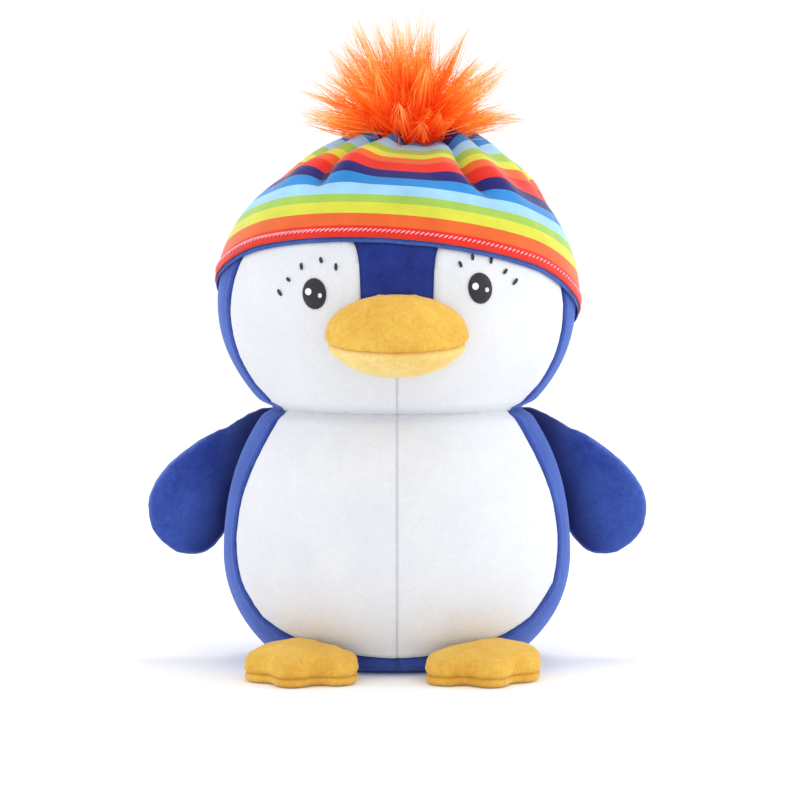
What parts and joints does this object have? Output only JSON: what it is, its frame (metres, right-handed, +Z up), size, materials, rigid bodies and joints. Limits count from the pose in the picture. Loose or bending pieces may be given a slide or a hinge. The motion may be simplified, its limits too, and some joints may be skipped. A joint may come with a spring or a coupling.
{
  "type": "plush penguin",
  "caption": "Sewn, stuffed sitting penguin with a round head, hanging wings, lobed feet and a striped pull-off hat with a fur pompom.",
  "frame": {"origin": "on the surface the toy sits on, under the middle of the body's base", "axes": "+Z up through the head, the face looks along -Y, +X is to the right as seen from the front, which is what left and right in the names mean"},
  "size_m": [0.2812, 0.2137, 0.3701],
  "materials": {
    "white_plush": "short white plush pile",
    "blue_plush": "short royal blue plush pile with a pale sheen at its edges",
    "golden_plush": "short golden plush pile",
    "pale_gold_plush": "short pale golden plush pile",
    "fibre_stuffing": "loose polyester fibre",
    "pouch_cloth": "plain woven cloth",
    "pellets": "small plastic beads",
    "label_ribbon": "blank satin ribbon",
    "blue_thread": "sewing thread",
    "black_thread": "glossy satin stitch embroidery",
    "white_thread": "glossy satin stitch embroidery",
    "pink_thread": "thick zigzag sewing thread",
    "striped_jersey": "knitted jersey with rainbow stripes",
    "blue_lining": "thin knitted lining",
    "orange_fur": "long glossy fur pile, paler at its tips",
    "fur_backing": "knitted backing of the fur"
  },
  "bodies": {
    "torso": {"belly_left": "white_plush", "belly_right": "white_plush", "back_left": "blue_plush", "back_right": "blue_plush", "base_panel": "blue_plush", "torso_stuffing": "fibre_stuffing", "pellet_pouch": "pouch_cloth", "pellets": "pellets", "care_label": "label_ribbon"},
    "neck": {"neck_seam": "blue_thread", "neck_stuffing": "fibre_stuffing"},
    "head": {"face_left": "white_plush", "face_right": "white_plush", "forehead_strip": "blue_plush", "head_back_left": "blue_plush", "head_back_right": "blue_plush", "head_stuffing": "fibre_stuffing", "beak_upper": "golden_plush", "beak_lower": "pale_gold_plush", "beak_stuffing": "fibre_stuffing", "eye_left": "black_thread", "eye_right": "black_thread", "eye_glints_left": "white_thread", "eye_glints_right": "white_thread", "lashes_left": "black_thread", "lashes_right": "black_thread"},
    "hat": {"hat_shell": "striped_jersey", "hat_lining": "blue_lining", "hat_hem_stitching": "pink_thread"},
    "pompom": {"pompom_fur": "orange_fur", "pompom_backing": "fur_backing", "pompom_stuffing": "fibre_stuffing", "pompom_thread": "blue_thread"},
    "wing_left": {"wing_left_front": "blue_plush", "wing_left_back": "blue_plush", "wing_left_stuffing": "fibre_stuffing"},
    "wing_right": {"wing_right_front": "blue_plush", "wing_right_back": "blue_plush", "wing_right_stuffing": "fibre_stuffing"},
    "foot_left": {"foot_left_top": "golden_plush", "foot_left_sole": "golden_plush", "foot_left_stuffing": "fibre_stuffing"},
    "foot_right": {"foot_right_top": "golden_plush", "foot_right_sole": "golden_plush", "foot_right_stuffing": "fibre_stuffing"}
  },
  "joints": [
    {"name": "head_turn", "type": "hinge", "parent": "torso", "child": "neck", "pos_m": [0, 0, 0.147], "axis": [0, 0, 1], "range_deg": [-20, 20], "stiffness_Nm_per_rad": 0.5},
    {"name": "head_nod", "type": "hinge", "parent": "neck", "child": "head", "pos_m": [0, 0, 0.147], "axis": [1, 0, 0], "range_deg": [-8, 8], "stiffness_Nm_per_rad": 2, "deforming": ["neck_stuffing"]},
    {"name": "hat_lift", "type": "slide", "parent": "head", "child": "hat", "axis": [0.0758, 0.3256, 0.9425], "range_m": [0, 0.11]},
    {"name": "pompom_tilt", "type": "hinge", "parent": "hat", "child": "pompom", "pos_m": [0.008, 0, 0.3021], "axis": [0, 1, 0], "range_deg": [-15, 15], "stiffness_Nm_per_rad": 0.08},
    {"name": "wing_left_raise", "type": "hinge", "parent": "torso", "child": "wing_left", "pos_m": [-0.0831, 0.024, 0.137], "axis": [0, 1, 0], "range_deg": [0, 55], "stiffness_Nm_per_rad": 0.08},
    {"name": "wing_right_raise", "type": "hinge", "parent": "torso", "child": "wing_right", "pos_m": [0.0831, 0.024, 0.137], "axis": [0, -1, 0], "range_deg": [0, 55], "stiffness_Nm_per_rad": 0.08},
    {"name": "foot_left_flex", "type": "hinge", "parent": "torso", "child": "foot_left", "pos_m": [-0.0505, -0.06, 0.016], "axis": [-1, 0, 0], "range_deg": [-10, 18], "stiffness_Nm_per_rad": 0.08},
    {"name": "foot_right_flex", "type": "hinge", "parent": "torso", "child": "foot_right", "pos_m": [0.0505, -0.06, 0.016], "axis": [-1, 0, 0], "range_deg": [-10, 18], "stiffness_Nm_per_rad": 0.08}
  ]
}
